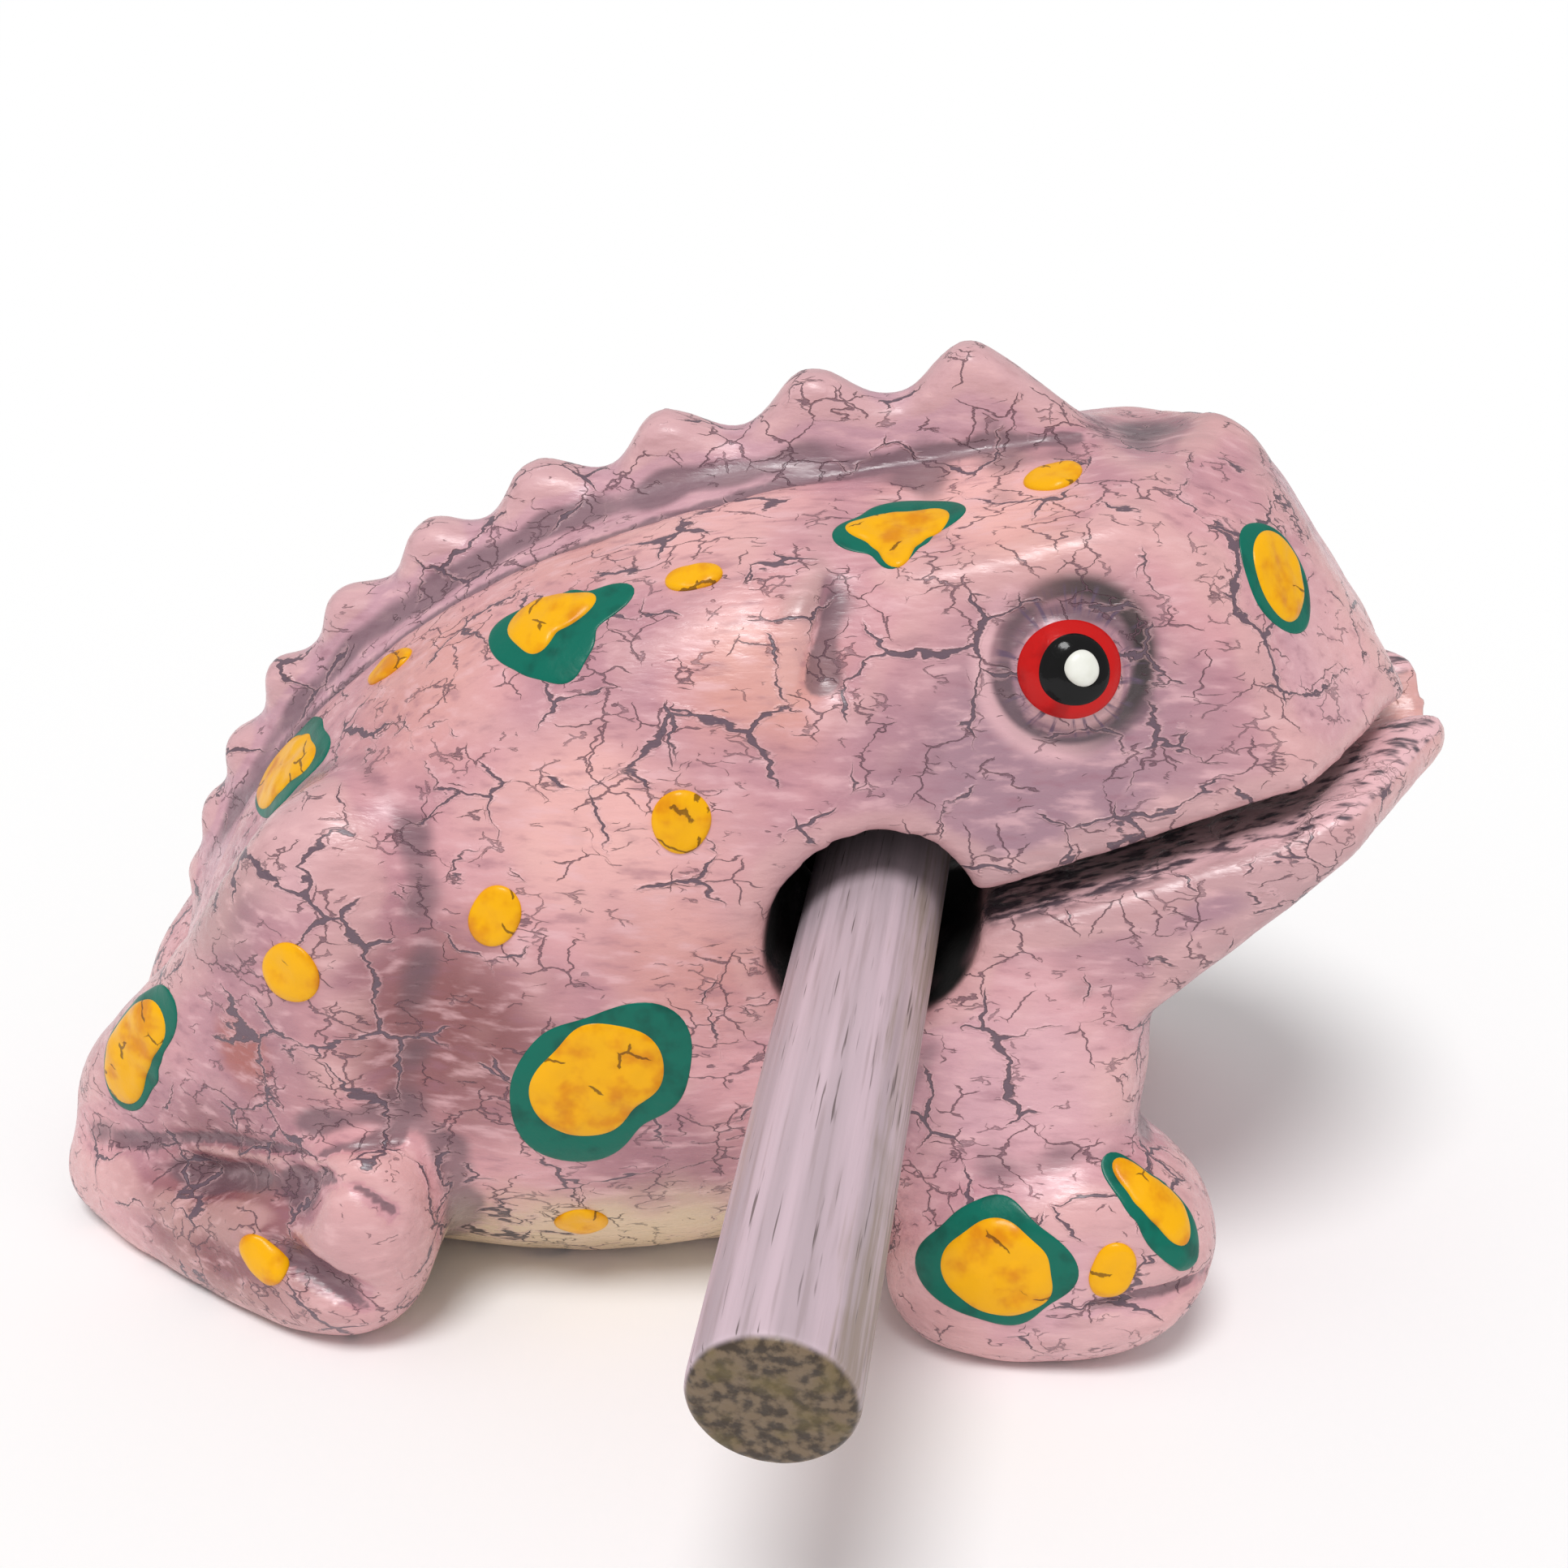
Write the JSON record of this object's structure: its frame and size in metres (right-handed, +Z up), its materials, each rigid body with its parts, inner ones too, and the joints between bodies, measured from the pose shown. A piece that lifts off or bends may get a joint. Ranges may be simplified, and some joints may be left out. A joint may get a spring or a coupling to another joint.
{
  "type": "frog guiro",
  "caption": "Carved wooden frog scraper: toothed ridge along the back, saw-cut mouth, hollow belly and a round striker stick kept crosswise through the cheeks.",
  "frame": {"origin": "centre of the sawn belly flat, in the plane of the soles", "axes": "+X the way the frog looks, +Y to its left side, +Z up; the long end of the stick points to -Y"},
  "size_m": [0.1603, 0.15, 0.1053],
  "materials": {
    "crackled_paint": "carved wood under thick mauve-pink crackle paint with a gloss varnish",
    "stick_paint": "turned wood with thin lilac-grey paint, worn along the grain"
  },
  "bodies": {
    "root": {"frog_body": "crackled_paint", "striker_stick": "stick_paint"}
  },
  "joints": []
}
